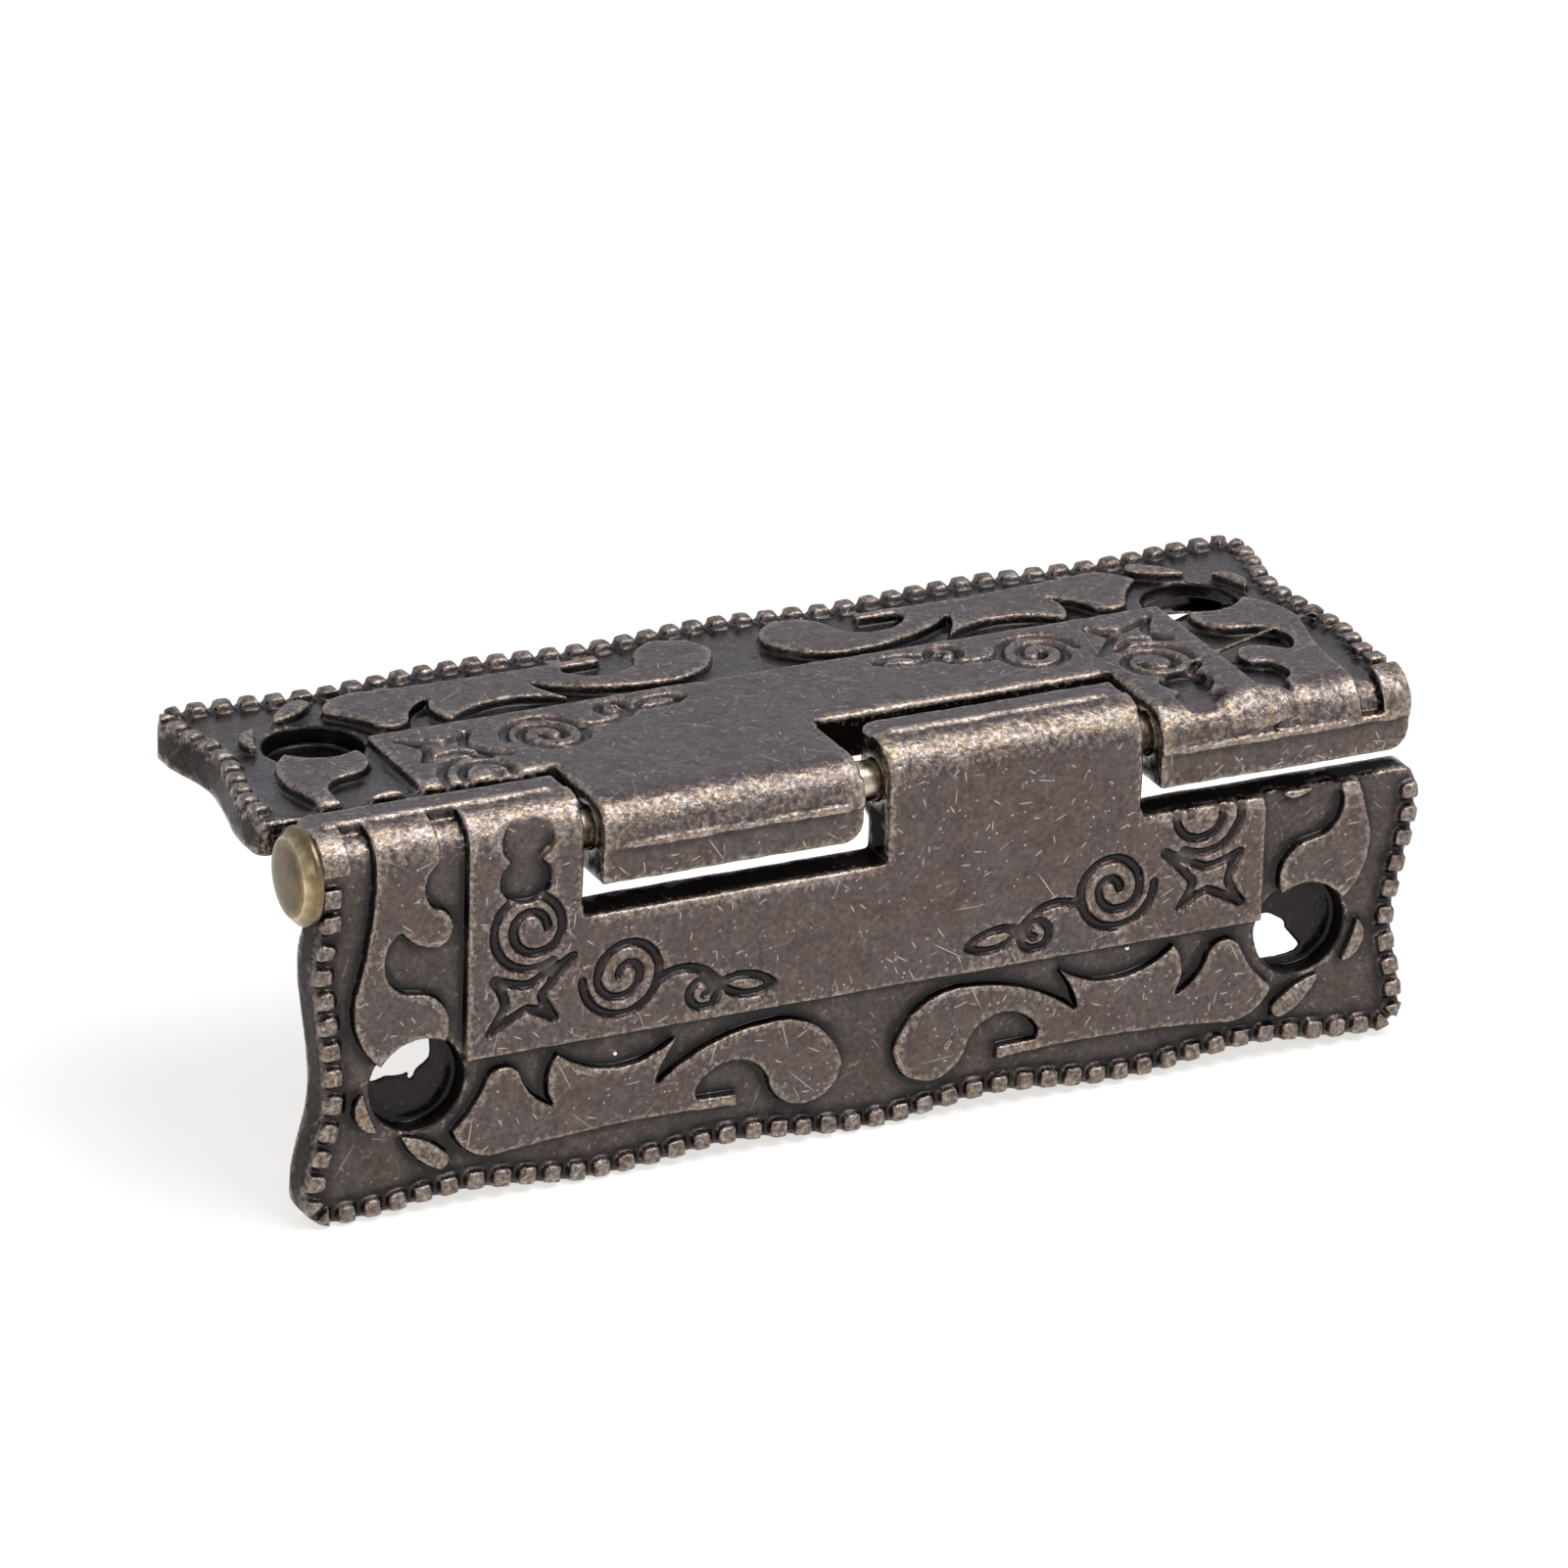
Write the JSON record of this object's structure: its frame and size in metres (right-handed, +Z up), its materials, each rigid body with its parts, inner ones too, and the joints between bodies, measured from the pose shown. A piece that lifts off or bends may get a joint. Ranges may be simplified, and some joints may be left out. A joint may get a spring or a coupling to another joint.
{
  "type": "box hinge",
  "caption": "Ornamental cast box hinge: relief leaves with beaded scalloped edges and screw holes fold about a headed pin through interleaved knuckles.",
  "frame": {"origin": "on the front leaf's back face, midway between its screw holes", "axes": "+X along the pin, away from its head; +Y back through the box wall; +Z up, towards the pin"},
  "size_m": [0.0537, 0.018, 0.018],
  "materials": {
    "antique_bronze": "die-cast zinc with antique bronze plating: dark oxide in the recesses, rubbed brassy edges",
    "brass_pin": "turned and lightly tumbled brass plating"
  },
  "bodies": {
    "front_leaf": {"front_leaf": "antique_bronze", "hinge_pin": "brass_pin"},
    "top_leaf": {"top_leaf": "antique_bronze"}
  },
  "joints": [
    {"name": "leaf_fold", "type": "hinge", "parent": "front_leaf", "child": "top_leaf", "pos_m": [0, -0.0004, 0.0099], "axis": [1, 0, 0], "range_deg": [-66, 208]}
  ]
}
